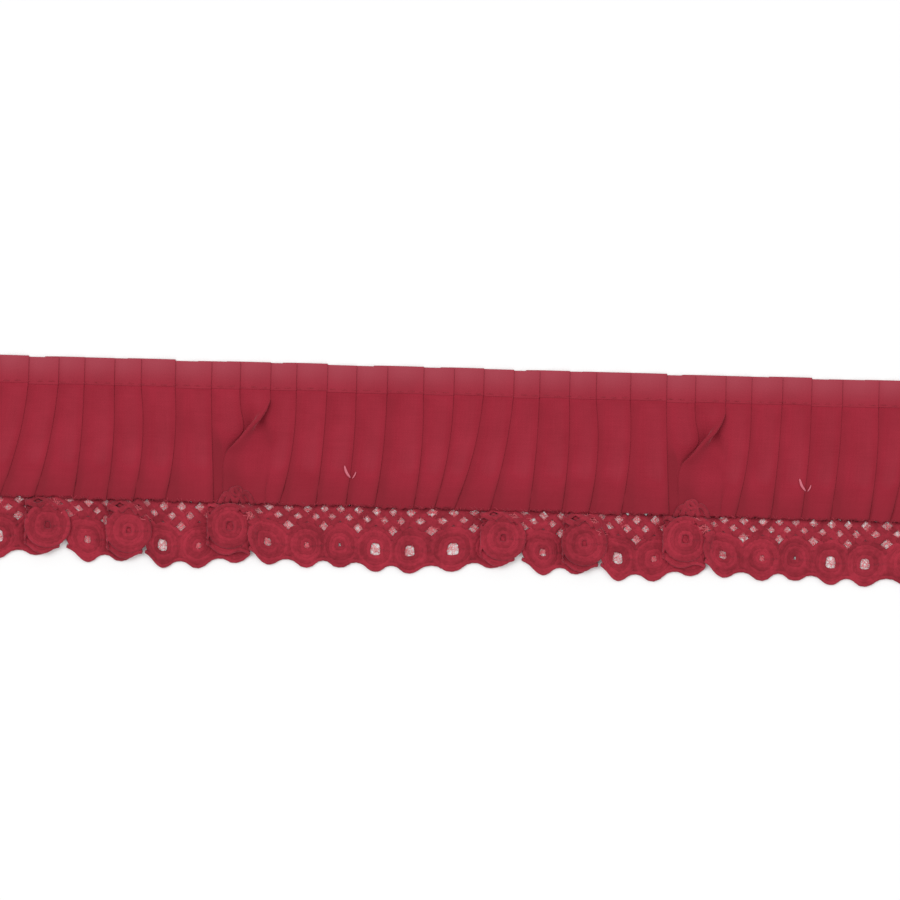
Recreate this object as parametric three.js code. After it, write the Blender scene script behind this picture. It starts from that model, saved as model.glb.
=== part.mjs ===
// A length of knife-pleated ribbon with a scalloped lace edging, lying flat and face up.
//
// Units are millimetres and +Z is up. X runs along the trim, +Y points to its heading and the lace is at
// -Y. The origin is in the middle of the box, on the surface that the trim lies on.
//
// Both pieces are sheets that follow a folded cross section. A fold is a fin: it rises from its foot,
// leans to one side and comes back, so that three layers of the sheet lie on each other there.

import * as THREE from 'three';

// Driving dimensions of the whole trim

const trimLength = 236;
const headingEdge = 24.96;
const headingDepth = 6.26;
const ribbonHem = -8.4;
const repeatLength = 109.25;
const firstRepeat = -109.8;
const repeats = 2;

// The sheets, and how their layers lie on each other

const sheetThickness = 1;
const layerGap = 0.3;
const layerPitch = sheetThickness + layerGap;
const bendRadius = layerPitch / 2;
const tipClearance = 1;
const fullDepth = 2.8;
const leastDepth = 1.4;
const footRoom = 3.4;
const sharpestMitre = 0.6;

// The middle line around a fold's foot, as distances from the foot and heights over the lowest layer. An
// upright fin spreads to both sides. A leaning one turns back tightly under itself, and on its other side
// the sheet rises over that turn.

const rootHeight = { upright: 0.75, leaning: 1.5 * layerPitch };
const faceStart = 0.3;
const spread = { reach: 1.5, shoulder: 0.85, shoulderHeight: 0.35 };
const turn = { inside: 0.3, outside: 0.35, height: bendRadius };
const rise = { reach: 2.6, shoulder: 1.25, shoulderHeight: 2.05 };
const besideSpread = 0.3;
const besideRise = 0.6;
const halfLean = 0.5;

// Stations across the ribbon from the heading to the hem. The last two lie on the foot of the lace.

const creaseTop = headingEdge - headingDepth;
const ribbonStations = [headingEdge, creaseTop, 12.5, 7, 1.5, -5.7, ribbonHem];
const liftedFrom = -5.7;

// Where each pleat's outer crease runs, measured from the start of a repeat: at the heading, at the
// middle of the pleat and at the hem. The photo's pleats are as uneven as this.

const middleShare = 0.52;
const pleats = [
  { heading: 7.0, middle: 5.0, hem: 1.0 },
  { heading: 14.2, middle: 12.5, hem: 9.4 },
  { heading: 20.4, middle: 20.0, hem: 18.7 },
  { heading: 27.6, middle: 27.8, hem: 26.6 },
  { heading: 34.0, middle: 34.8, hem: 33.1 },
  { heading: 42.2, middle: 42.5, hem: 40.8 },
  { heading: 50.9, middle: 51.6, hem: 52.3 },
  { runsOut: true },
  { twisted: true },
  { heading: 71.3, middle: 70.8, hem: 68.2 },
  { heading: 78.7, middle: 78.1, hem: 76.8 },
  { heading: 85.7, middle: 85.4, hem: 84.0 },
  { heading: 93.1, middle: 92.6, hem: 91.0 },
  { heading: 101.8, middle: 101.8, hem: 100.3 },
  { heading: 109.1, middle: 108.2, hem: 105.4 },
];

// One pleat of each repeat runs out under its neighbour, and the neighbour is twisted: it leans to the
// right at the heading, stands up and falls over to the left below. Lean is the cosine of the fin's
// direction, 1 to the right and -1 to the left. Height flattens the fin, and bridge is how high the sheet
// stays on the fin's right. There is one row for each station.

const runningOut = [
  { foot: 54.6, depth: 2.8, lean: 1, height: 1 },
  { foot: 54.6, depth: 2.8, lean: 1, height: 1 },
  { foot: 55.2, depth: 2.7, lean: 1, height: 1 },
  { foot: 56.2, depth: 2.4, lean: 0, height: 0.45 },
  { foot: 56.2, depth: 2.4, lean: 0, height: 0 },
  { foot: 56.2, depth: 2.4, lean: 0, height: 0 },
  { foot: 56.2, depth: 2.4, lean: 0, height: 0 },
];
const twistedOver = [
  { foot: 61.0, depth: 3.8, lean: 1, bridge: 0 },
  { foot: 61.0, depth: 3.8, lean: 1, bridge: 0 },
  { foot: 61.0, depth: 3.4, lean: 0.8, bridge: 0 },
  { foot: 61.0, depth: 3.7, lean: -0.8, bridge: 1.2 },
  { foot: 61.0, depth: 5.8, lean: -1, bridge: 1.9 },
  { foot: 61.0, depth: 6.4, lean: -1, bridge: 1.9 },
  { foot: 61.0, depth: 6.5, lean: -1, bridge: 1.9 },
];

// Lace: a row of round motifs, given by their centres. Those marked raised follow a tuck, whose left
// crease and foot are given with them, and they lie on top of the motif before them.

const motifRadius = 5.4;
const laceFoot = -6.1;
const tuckedLaceFoot = -9.2;
const valleyEdge = -22.3;
const motifs = [
  { x: 1.7, y: -18.5 },
  { x: 10.3, y: -17.3 },
  { x: 12.7, y: -15.4, tuck: { crease: 7.4, foot: 14.9 } },
  { x: 22.3, y: -18.7 },
  { x: 30.5, y: -18.2 },
  { x: 32.2, y: -16.1, tuck: { crease: 27.1, foot: 34.9 } },
  { x: 40.3, y: -19.56 },
  { x: 49.0, y: -19.4 },
  { x: 58.3, y: -17.8 },
  { x: 56.4, y: -14.4, tuck: { crease: 51.1, foot: 60.7 } },
  { x: 65.5, y: -18.0 },
  { x: 74.9, y: -18.5 },
  { x: 82.8, y: -18.2 },
  { x: 91.4, y: -19.0 },
  { x: 99.6, y: -19.2 },
  { x: 109.0, y: -18.5 },
];
const scallopSteps = [-0.8, -0.55, -0.28, 0, 0.28, 0.55, 0.8];
const leastStep = 0.2;
const clearOfFold = 0.4;
const sameSpot = 0.05;

// Small helpers

function mix(a, b, share) {
  return a + (b - a) * share;
}

function mixPoint(a, b, share) {
  return { x: mix(a.x, b.x, share), z: mix(a.z, b.z, share) };
}

// The nine points of a fold's middle line, from left to right along the sheet. They run up the left foot,
// over the fin and down the right foot. Heights are measured from the lowest layer.

function foldLine({ foot, depth, lean, height = 1, bridge = 0 }, startX, startHeight) {
  const upward = Math.sqrt(1 - lean * lean);
  const share = Math.abs(lean);
  const root = { x: foot, z: mix(rootHeight.upright, rootHeight.leaning, share) };
  const along = (distance, side) => ({
    x: root.x + distance * lean - side * bendRadius * upward,
    z: root.z + distance * upward + side * bendRadius * lean,
  });
  const upright = {
    left: [{ x: foot - spread.reach, z: 0 }, { x: foot - spread.shoulder, z: spread.shoulderHeight }],
    right: [{ x: foot + spread.shoulder, z: spread.shoulderHeight }, { x: foot + spread.reach, z: 0 }],
  };
  const leaning = lean < 0
    ? {
        left: [{ x: foot - turn.inside, z: 0 }, { x: foot + turn.outside, z: turn.height }],
        right: [{ x: foot + rise.shoulder, z: rise.shoulderHeight }, { x: foot + rise.reach, z: bridge }],
      }
    : {
        left: [{ x: startX, z: startHeight }, { x: foot - rise.shoulder, z: rise.shoulderHeight }],
        right: [{ x: foot - turn.outside, z: turn.height }, { x: foot + turn.inside, z: 0 }],
      };
  const line = [
    ...upright.left.map((point, i) => mixPoint(point, leaning.left[i], share)),
    along(faceStart, 1),
    along(depth - bendRadius, 1),
    along(depth, 0),
    along(depth - bendRadius, -1),
    along(faceStart, -1),
    ...upright.right.map((point, i) => mixPoint(point, leaning.right[i], share)),
  ];
  const last = line.length - 1;
  return line.map((point, i) => {
    const flat = { x: mix(foot - spread.reach, foot + spread.reach, i / last), z: 0 };
    return mixPoint(flat, point, height);
  });
}

// How far right of a fold the sheet may start its way up to the next one.

function rightEdge({ foot, depth, lean }) {
  if (lean > halfLean) return foot + depth * lean + tipClearance;
  if (lean < -halfLean) return foot + rise.reach + besideRise;
  return foot + spread.reach + besideSpread;
}

// A closed solid of even thickness around a grid of points. Each row of the grid is a cross section at
// its own Y, and the rows run from the heading to the hem.

function thickSheet(rows) {
  const half = sheetThickness / 2;
  const columns = rows[0].length;
  const positions = [];
  for (const row of rows) {
    row.forEach((point, i) => {
      const before = row[Math.max(i - 1, 0)];
      const after = row[Math.min(i + 1, columns - 1)];
      const normals = [];
      if (i > 0) normals.push(normalOf(before, point));
      if (i < columns - 1) normals.push(normalOf(point, after));
      const first = normals[0];
      const second = normals[normals.length - 1];
      const reach = half / Math.max(1 + first.x * second.x + first.z * second.z, sharpestMitre);
      const offset = { x: (first.x + second.x) * reach, z: (first.z + second.z) * reach };
      positions.push(point.x + offset.x, point.y, point.z + offset.z);
      positions.push(point.x - offset.x, point.y, point.z - offset.z);
    });
  }
  const upper = (row, column) => 2 * (row * columns + column);
  const lower = (row, column) => upper(row, column) + 1;
  const indices = [];
  const quad = (a, b, c, d) => indices.push(a, b, c, a, c, d);
  const lastRow = rows.length - 1;
  const lastColumn = columns - 1;
  for (let row = 0; row < lastRow; row++) {
    for (let column = 0; column < lastColumn; column++) {
      quad(upper(row, column), upper(row + 1, column), upper(row + 1, column + 1), upper(row, column + 1));
      quad(lower(row, column), lower(row, column + 1), lower(row + 1, column + 1), lower(row + 1, column));
    }
    quad(upper(row, 0), lower(row, 0), lower(row + 1, 0), upper(row + 1, 0));
    quad(
      upper(row, lastColumn), upper(row + 1, lastColumn), lower(row + 1, lastColumn), lower(row, lastColumn),
    );
  }
  for (let column = 0; column < lastColumn; column++) {
    quad(upper(0, column), upper(0, column + 1), lower(0, column + 1), lower(0, column));
    quad(
      lower(lastRow, column), lower(lastRow, column + 1),
      upper(lastRow, column + 1), upper(lastRow, column),
    );
  }
  const geometry = new THREE.BufferGeometry();
  geometry.setAttribute('position', new THREE.Float32BufferAttribute(positions, 3));
  geometry.setIndex(indices);
  geometry.computeVertexNormals();
  return geometry;
}

function normalOf(from, to) {
  const length = Math.hypot(to.x - from.x, to.z - from.z);
  return { x: (from.z - to.z) / length, z: (to.x - from.x) / length };
}

// The ribbon

function creaseAt(pleat, y) {
  const s = Math.max(0, (creaseTop - y) / (creaseTop - ribbonHem));
  const atHeading = (s - middleShare) * (s - 1) / middleShare;
  const atMiddle = s * (s - 1) / (middleShare * (middleShare - 1));
  const atHem = s * (s - middleShare) / (1 - middleShare);
  return pleat.heading * atHeading + pleat.middle * atMiddle + pleat.hem * atHem;
}

function pleatFold(pleat, station, origin, startX) {
  if (pleat.runsOut || pleat.twisted) {
    const row = (pleat.runsOut ? runningOut : twistedOver)[station];
    return { ...row, foot: origin + row.foot };
  }
  const tip = origin + creaseAt(pleat, ribbonStations[station]);
  const room = tip - startX + tipClearance - footRoom;
  const depth = Math.min(fullDepth, Math.max(leastDepth, room));
  return { foot: tip - depth, depth, lean: 1 };
}

function ribbonRow(station) {
  const y = ribbonStations[station];
  const floor = sheetThickness / 2 + (y <= liftedFrom ? layerPitch : 0);
  const lastPleat = pleats.length - 1;
  const order = [{ pleat: pleats[lastPleat], origin: firstRepeat - repeatLength }];
  for (let repeat = 0; repeat < repeats; repeat++) {
    for (const pleat of pleats) order.push({ pleat, origin: firstRepeat + repeat * repeatLength });
  }
  order.push({ pleat: pleats[0], origin: firstRepeat + repeats * repeatLength });
  const line = [{ x: -trimLength / 2, z: 0 }];
  let startX = -trimLength / 2 + tipClearance;
  let startHeight = 0;
  for (const { pleat, origin } of order) {
    const fold = pleatFold(pleat, station, origin, startX);
    line.push(...foldLine(fold, startX, startHeight));
    startX = rightEdge(fold);
    startHeight = fold.bridge ?? 0;
  }
  line.push({ x: trimLength / 2, z: 0 });
  return line.map(({ x, z }) => ({ x, y, z: z + floor }));
}

// The lace

function laceRuns() {
  const runs = [];
  let run = { motifs: [], from: -trimLength / 2 };
  for (let repeat = 0; repeat <= repeats; repeat++) {
    const origin = firstRepeat + repeat * repeatLength;
    for (const motif of motifs) {
      const x = origin + motif.x;
      if (motif.tuck) {
        const tuck = { crease: origin + motif.tuck.crease, foot: origin + motif.tuck.foot };
        if (tuck.foot + motifRadius > trimLength / 2) continue;
        runs.push({ ...run, tuck });
        run = { motifs: [], from: tuck.crease };
      }
      if (x < trimLength / 2) run.motifs.push({ x, y: motif.y });
    }
  }
  runs.push({ ...run, to: trimLength / 2 });
  return runs;
}

function scallopAt(run, x) {
  let edge = valleyEdge;
  for (const motif of run.motifs) {
    const reach = motifRadius ** 2 - (x - motif.x) ** 2;
    if (reach > 0) edge = Math.min(edge, motif.y - Math.sqrt(reach));
  }
  return edge;
}

function scallopSamples(run, from, to) {
  const samples = run.motifs.flatMap(motif => scallopSteps.map(step => motif.x + step * motifRadius));
  samples.sort((a, b) => a - b);
  return samples.filter((x, i) => {
    const apart = i === 0 || x - samples[i - 1] > leastStep;
    return apart && x > from + clearOfFold && x < to - clearOfFold;
  });
}

function heightOn(line, x) {
  for (let i = 1; i < line.length; i++) {
    const left = line[i - 1];
    const right = line[i];
    if (x <= right.x) return mix(left.z, right.z, (x - left.x) / (right.x - left.x));
  }
  return line[line.length - 1].z;
}

// The middle line of the lace. Each run of it lies on the surface from the last tuck's crease to the next
// tuck's foot. The first stretch of a run comes down from the top of the tuck behind it.

function laceColumns() {
  const columns = [];
  const add = (run, point) => columns.push({ ...point, edge: scallopAt(run, point.x) });
  let descent = [{ x: -trimLength / 2, z: 0 }];
  for (const run of laceRuns()) {
    const start = descent[0].x;
    const fold = run.tuck && {
      foot: run.tuck.foot,
      depth: run.tuck.foot - run.tuck.crease,
      lean: -1,
    };
    const folded = fold ? foldLine(fold, 0, 0) : [];
    const end = fold ? folded[0].x : run.to;
    const stops = [
      ...descent,
      ...scallopSamples(run, start, end).map(x => ({ x, z: heightOn(descent, x) })),
    ];
    stops.sort((a, b) => a.x - b.x);
    const separate = stops.filter((stop, i) => i === 0 || stop.x - stops[i - 1].x > sameSpot);
    separate.forEach(stop => add(run, stop));
    if (fold) {
      const half = Math.ceil(folded.length / 2);
      folded.slice(0, half).forEach(point => add(run, point));
      descent = folded.slice(half);
    } else {
      add(run, { x: end, z: 0 });
    }
  }
  return columns;
}

function laceRows() {
  const floor = sheetThickness / 2;
  const columns = laceColumns();
  const top = columns.map(({ x, z }) => ({ x, y: z > sameSpot ? tuckedLaceFoot : laceFoot, z: z + floor }));
  const bottom = columns.map(({ x, z, edge }) => ({ x, y: edge, z: z + floor }));
  return [top, bottom];
}

// The two pieces

function cloth(name, rows, color, roughness) {
  const material = new THREE.MeshStandardMaterial({ color, roughness, metalness: 0 });
  const mesh = new THREE.Mesh(thickSheet(rows), material);
  mesh.name = name;
  return mesh;
}

const trim = new THREE.Group();
trim.add(cloth('pleated_ribbon', ribbonStations.map((_, station) => ribbonRow(station)), 0x97293a, 0.85));
trim.add(cloth('lace_edging', laceRows(), 0xa02a3c, 0.9));

export default trim;
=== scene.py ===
# Looks of a length of knife-pleated ribbon with a scalloped lace edging, lying flat and face up.
#
# Sizes are millimetres until a mesh is made, and +Z is up. X runs along the trim, the heading is at +Y and
# the lace at -Y. The ribbon is one thin cloth laid in the folds of its solid, and the lace is worked from
# cords that follow the folds and tucks of its solid.

import math

import bmesh
import bpy
import numpy as np
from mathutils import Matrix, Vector
from mathutils.bvhtree import BVHTree


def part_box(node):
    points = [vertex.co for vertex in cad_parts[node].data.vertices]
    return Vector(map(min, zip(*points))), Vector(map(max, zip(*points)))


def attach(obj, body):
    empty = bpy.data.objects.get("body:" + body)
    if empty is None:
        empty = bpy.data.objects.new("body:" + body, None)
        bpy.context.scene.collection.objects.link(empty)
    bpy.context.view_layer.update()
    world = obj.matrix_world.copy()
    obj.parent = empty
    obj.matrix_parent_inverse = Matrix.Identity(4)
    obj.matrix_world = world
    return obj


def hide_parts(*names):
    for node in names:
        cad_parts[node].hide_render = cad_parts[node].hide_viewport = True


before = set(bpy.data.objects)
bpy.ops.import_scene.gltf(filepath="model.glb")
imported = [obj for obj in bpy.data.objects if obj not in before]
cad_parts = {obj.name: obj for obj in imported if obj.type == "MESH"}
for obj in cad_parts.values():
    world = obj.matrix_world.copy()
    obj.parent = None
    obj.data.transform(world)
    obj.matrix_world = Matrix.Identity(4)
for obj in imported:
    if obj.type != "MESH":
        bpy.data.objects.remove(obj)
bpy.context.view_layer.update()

METRES = 0.001
ribbon_low, ribbon_high = (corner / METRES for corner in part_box("pleated_ribbon"))

# Sizes that the folds of the solids share with the cloth

half_length = ribbon_high.x
heading_edge = ribbon_high.y
ribbon_hem = ribbon_low.y
heading_depth = 6.26
crease_top = heading_edge - heading_depth
repeat_length = 109.25
first_repeat = -109.8
repeats = 2
middle_share = 0.52


# Small helpers

def mix(a, b, share):
    return a + (b - a) * share


def ease(value, start, end):
    """0 before start, 1 after end and a soft step between them."""
    t = np.clip((np.asarray(value, float) - start) / (end - start), 0, 1)
    return t * t * (3 - 2 * t)


def below(y, start, end):
    """0 above start, 1 below end and a soft step between them, going down the trim."""
    return float(ease(-y, -start, -end))


def curve_through(knots, values, at):
    """A smooth curve through values at rising knots, with no overshoot between them."""
    knots, values, at = (np.asarray(a, float) for a in (knots, values, at))
    steps = np.diff(knots)
    slopes = np.diff(values) / steps
    product = slopes[:-1] * slopes[1:]
    total = slopes[:-1] + slopes[1:]
    inner = np.where(product > 0, 2 * product / np.where(product > 0, total, 1), 0)
    tangents = np.concatenate([slopes[:1], inner, slopes[-1:]])
    at = np.clip(at, knots[0], knots[-1])
    i = np.clip(np.searchsorted(knots, at) - 1, 0, len(steps) - 1)
    t = (at - knots[i]) / steps[i]
    rise = values[i] * (1 + 2 * t) * (1 - t) ** 2 + values[i + 1] * t * t * (3 - 2 * t)
    return rise + steps[i] * (tangents[i] * t * (1 - t) ** 2 - tangents[i + 1] * t * t * (1 - t))


def waves(at, table):
    """The sum of some sine waves. Columns: size, turns, shift."""
    return sum(size * np.sin(at * turns + shift) for size, turns, shift in table)


def parabola(a, b, c, t):
    """Points on the curve that starts at a, heads for b and ends at c."""
    return (1 - t) ** 2 * a + 2 * t * (1 - t) * b + t * t * c


def lengths_between(points):
    return np.linalg.norm(np.diff(points, axis=0), axis=1)


def running_total(steps):
    """Distance along a line at each of its points, from the lengths between them."""
    return np.concatenate([[0], np.cumsum(steps)])


def left_normals(tangents):
    unit = tangents / np.maximum(np.linalg.norm(tangents, axis=1, keepdims=True), 1e-9)
    return np.stack([-unit[:, 1], unit[:, 0]], axis=1)


def path_of(x, y, z=0.0):
    """Points from their x, y and z, where one number can stand for all of them."""
    return np.stack(np.broadcast_arrays(x, y, z), axis=-1)


def repeat_start(repeat):
    return first_repeat + repeat * repeat_length


def table_at(table, y):
    """The columns of a table whose first column falls from heading to hem, at the given y."""
    rows = np.array(table[::-1], float)
    return [float(curve_through(rows[:, 0], rows[:, k], y)) for k in range(1, rows.shape[1])]


def mesh_object(name, points, quads, material, attributes=()):
    """An object with smooth faces. Points are in millimetres."""
    mesh = bpy.data.meshes.new(name)
    mesh.from_pydata((np.asarray(points) * METRES).tolist(), [], np.asarray(quads).tolist())
    mesh.polygons.foreach_set("use_smooth", np.ones(len(mesh.polygons), bool))
    for label, values in attributes:
        layer = mesh.attributes.new(label, "FLOAT_VECTOR", "POINT")
        layer.data.foreach_set("vector", np.asarray(values, np.float32).ravel())
    mesh.materials.append(material)
    mesh.update()
    piece = bpy.data.objects.new(name, mesh)
    bpy.context.scene.collection.objects.link(piece)
    return piece


# Camera: straight above at the photo's distance, turned by the photo's slope

photo_slope = math.radians(1.66)
camera_height = 1.2
view_width = 0.216
sensor_width = 36
view_centre = (-0.0012, 0.0053)

camera_data = bpy.data.cameras.new("camera")
camera_data.sensor_width = sensor_width
camera_data.lens = sensor_width * camera_height / view_width
camera_data.clip_start = 0.05
camera = bpy.data.objects.new("camera", camera_data)
camera.location = (view_centre[0], view_centre[1], camera_height)
camera.rotation_euler = (0, 0, photo_slope)
bpy.context.scene.collection.objects.link(camera)
bpy.context.scene.camera = camera
bpy.context.scene.view_settings.view_transform = "Standard"


# Light and floor

suns = {
    "key": {"azimuth": 150, "elevation": 54, "softness": 40, "strength": 1.2},
    "rim": {"azimuth": 12, "elevation": 32, "softness": 36, "strength": 0.6},
}
sky_strength = 0.715
floor_size = 12
floor_albedo = 0.9


def add_light_and_floor():
    sky = bpy.data.worlds.new("sky")
    sky.use_nodes = True
    background = sky.node_tree.nodes["Background"]
    background.inputs["Color"].default_value = (1, 1, 1, 1)
    background.inputs["Strength"].default_value = sky_strength
    bpy.context.scene.world = sky
    for name, sun in suns.items():
        data = bpy.data.lights.new(name, "SUN")
        data.energy = sun["strength"]
        data.angle = math.radians(sun["softness"])
        lamp = bpy.data.objects.new(name, data)
        lamp.rotation_euler = (0, math.radians(90 - sun["elevation"]), math.radians(sun["azimuth"]))
        bpy.context.scene.collection.objects.link(lamp)
    half = floor_size / 2
    corners = [(-half, -half, 0), (half, -half, 0), (half, half, 0), (-half, half, 0)]
    mesh = bpy.data.meshes.new("floor")
    mesh.from_pydata(corners, [], [(0, 1, 2, 3)])
    floor = bpy.data.objects.new("floor", mesh)
    bpy.context.scene.collection.objects.link(floor)
    paint = bpy.data.materials.new("floor_paint")
    paint.use_nodes = True
    shader = paint.node_tree.nodes["Principled BSDF"]
    shader.inputs["Base Color"].default_value = (floor_albedo, floor_albedo, floor_albedo, 1)
    shader.inputs["Roughness"].default_value = 1
    shader.inputs["Specular IOR Level"].default_value = 0
    mesh.materials.append(paint)


add_light_and_floor()


# Materials

class Nodes:
    """A short way to wire a material's nodes."""

    def __init__(self, name):
        self.material = bpy.data.materials.new(name)
        self.material.use_nodes = True
        self.tree = self.material.node_tree
        self.shader = self.tree.nodes["Principled BSDF"]

    def add(self, kind, inputs=(), **settings):
        node = self.tree.nodes.new(kind)
        for name, value in settings.items():
            setattr(node, name, value)
        for socket, value in dict(inputs).items():
            self.set(node.inputs[socket], value)
        return node

    def set(self, socket, value):
        if isinstance(value, bpy.types.NodeSocket):
            self.tree.links.new(value, socket)
        else:
            socket.default_value = value

    def maths(self, operation, a, b=0.0):
        return self.add("ShaderNodeMath", {0: a, 1: b}, operation=operation).outputs[0]

    def attribute(self, name):
        split = self.add(
            "ShaderNodeSeparateXYZ",
            {0: self.add("ShaderNodeAttribute", attribute_name=name).outputs["Vector"]},
        )
        return split.outputs

    def noise(self, scale, detail, vector=None):
        inputs = {"Scale": scale, "Detail": detail}
        if vector is not None:
            inputs["Vector"] = vector
        return self.add("ShaderNodeTexNoise", inputs).outputs["Fac"]

    def ramp(self, factor, stops):
        node = self.add("ShaderNodeValToRGB", {0: factor})
        elements = node.color_ramp.elements
        while len(elements) < len(stops):
            elements.new(0.5)
        for element, (position, colour) in zip(elements, stops):
            element.position = position
            element.color = (*colour, 1)
        return node.outputs["Color"]

    def blend(self, kind, factor, a, b):
        node = self.add("ShaderNodeMix", data_type="RGBA", blend_type=kind)
        self.set(node.inputs["Factor"], factor)
        self.set(node.inputs[6], a)
        self.set(node.inputs[7], b)
        return node.outputs[2]

    def bump(self, height, distance, strength, before=None):
        inputs = {"Height": height, "Distance": distance, "Strength": strength}
        if before is not None:
            inputs["Normal"] = before
        return self.add("ShaderNodeBump", inputs).outputs["Normal"]

    def streaks(self, along, across, seed=0.0):
        """Noise at a place on the cloth, drawn out along or across it."""
        place = self.add("ShaderNodeCombineXYZ", {0: along, 1: across, 2: seed}).outputs[0]
        return self.noise(1, 2, place)

    def strands(self, along, around, lean, turns):
        """0 between two strands of a twisted yarn and up to 1 on them."""
        slant = self.maths("ADD", along, self.maths("MULTIPLY", around, lean))
        return self.maths("ABSOLUTE", self.maths("SINE", self.maths("MULTIPLY", slant, turns)))

    def finish(self, colour, normal, surface):
        for name, value in {"Base Color": colour, "Normal": normal, **surface}.items():
            self.set(self.shader.inputs[name], value)
        return self.material


thread_pitch = 0.3
slub_scale = {"fine": 3.1, "drawn_out": 0.12}
most_dark_tint = 1.6
cloth_dark = (0.246, 0.0070, 0.0208)
cloth_light = (0.329, 0.0138, 0.0338)
# The lighter and darker tints that the cloth attribute mixes in: for the heading's tone and painted
# highlights, and for the darker hem and painted shade
tone_and_highlight_tint = (0.344, 0.044, 0.066)
hem_and_shade_tint = (0.215, 0.0080, 0.0195)


def cloth_material():
    n = Nodes("ribbon_cloth")
    along, across, layer = n.attribute("cloth")
    flat = n.add("ShaderNodeCombineXYZ", {0: along, 1: across}).outputs[0]
    turns = math.pi / thread_pitch
    uneven = n.noise(2.2, 3, flat)
    fine, drawn_out = slub_scale["fine"], slub_scale["drawn_out"]
    warp_slub = n.streaks(n.maths("MULTIPLY", along, fine), n.maths("MULTIPLY", across, drawn_out))
    weft_slub = n.streaks(n.maths("MULTIPLY", along, drawn_out), n.maths("MULTIPLY", across, fine), 7.0)
    warp = n.maths("SINE", n.maths("MULTIPLY", along, turns))
    weft = n.maths("SINE", n.maths("MULTIPLY", across, turns))
    weave = n.maths("MULTIPLY_ADD", n.maths("MULTIPLY", warp, weft), 0.5)
    slubs = n.maths("ADD", warp_slub, weft_slub)
    blotches = n.noise(0.11, 4, flat)
    tone = n.maths("ADD", n.maths("MULTIPLY", blotches, 0.6), n.maths("MULTIPLY", slubs, 0.2))
    colour = n.ramp(tone, [(0.30, cloth_dark), (0.70, cloth_light)])
    # Darker between the threads and lighter on them: painted shade and highlight of the weave's relief
    groove_shade = n.ramp(weave, [(0.0, (0.94, 0.94, 0.94)), (0.8, (1.03, 1.03, 1.03))])
    colour = n.blend("MULTIPLY", 1.0, colour, groove_shade)
    # Mix towards the lighter tint for the heading's tone and painted highlights, then towards the darker
    # tint for the darker hem and painted shade
    colour = n.blend("MIX", n.maths("MAXIMUM", layer, 0.0), colour, (*tone_and_highlight_tint, 1))
    shade = n.maths("MAXIMUM", n.maths("MULTIPLY", layer, -1.0), 0.0)
    near_hem = n.maths("MINIMUM", shade, most_dark_tint)
    colour = n.blend("MIX", near_hem, colour, (*hem_and_shade_tint, 1))
    height = n.maths("ADD", weave, n.maths("MULTIPLY", slubs, 0.5))
    normal = n.bump(uneven, 0.00025, 0.25, n.bump(height, 0.00004, 0.35))
    return n.finish(colour, normal, {
        "Roughness": 0.82, "Specular IOR Level": 0.25,
        "Sheen Weight": 0.22, "Sheen Roughness": 0.45, "Sheen Tint": (1.0, 0.55, 0.6, 1),
    })


wrap_pitch = 0.34
yarn_dark = (0.200, 0.009, 0.019)
yarn_light = (0.380, 0.022, 0.043)


def yarn_material():
    n = Nodes("lace_yarn")
    along, around, seed = n.attribute("yarn")
    wraps = n.strands(along, around, 0.5, math.pi / wrap_pitch)
    place = n.add("ShaderNodeTexCoord").outputs["Object"]
    patches = n.noise(150, 3, place)
    fibres = n.noise(1100, 3, place)
    tone = n.maths("ADD", n.maths("MULTIPLY", patches, 0.5), n.maths("MULTIPLY", seed, 0.14))
    tone = n.maths("ADD", tone, n.maths("MULTIPLY", fibres, 0.36))
    colour = n.ramp(tone, [(0.34, yarn_dark), (0.66, yarn_light)])
    # Darker between the strands: painted shade in the yarn's grooves
    groove_shade = n.ramp(wraps, [(0.0, (0.72, 0.72, 0.72)), (0.5, (1.04, 1.04, 1.04))])
    normal = n.bump(fibres, 0.00005, 0.3, n.bump(wraps, 0.00007, 0.6))
    return n.finish(n.blend("MULTIPLY", 1.0, colour, groove_shade), normal, {
        "Roughness": 0.85, "Specular IOR Level": 0.25,
        "Sheen Weight": 0.2, "Sheen Roughness": 0.5, "Sheen Tint": (1.0, 0.5, 0.6, 1),
    })


cloth_look = cloth_material()
yarn_look = yarn_material()


# The ribbon's pleats, by the places of their creases from the start of a repeat. Columns: at the heading,
# in the middle, at the hem. Two pleats have tables of their own.

pleats = [
    (7.0, 5.0, 1.0),
    (14.2, 12.5, 9.4),
    (20.4, 20.0, 18.7),
    (27.6, 27.8, 26.6),
    (34.0, 34.8, 33.1),
    (42.2, 42.5, 40.8),
    (50.9, 51.6, 52.3),
    "runs_out",
    "twisted",
    (71.3, 70.8, 68.2),
    (78.7, 78.1, 76.8),
    (85.7, 85.4, 84.0),
    (93.1, 92.6, 91.0),
    (101.8, 101.8, 100.3),
    (109.1, 108.2, 105.4),
]

# One pleat runs out under its neighbour. Columns: y, foot, depth, lean, height

running_out = [
    (24.96, 54.9, 2.8, 1.0, 1.0),
    (18.7, 54.9, 2.8, 1.0, 1.0),
    (14.4, 55.0, 3.0, 1.0, 1.0),
    (10.1, 55.2, 3.9, 1.0, 0.95),
    (8.2, 55.4, 4.2, 1.0, 0.80),
    (6.6, 55.5, 4.2, 1.0, 0.45),
    (5.0, 55.5, 3.4, 1.0, 0.12),
    (3.4, 55.5, 2.8, 1.0, 0.0),
    (-8.4, 55.5, 2.8, 1.0, 0.0),
]

# Its neighbour is twisted: it leans right at the heading, stands up and falls to the left below. Columns:
# y, foot, depth, lean (1 is right, -1 is left), height of the sheet on its right, radius of the crease, lift
# of the whole fold

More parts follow.
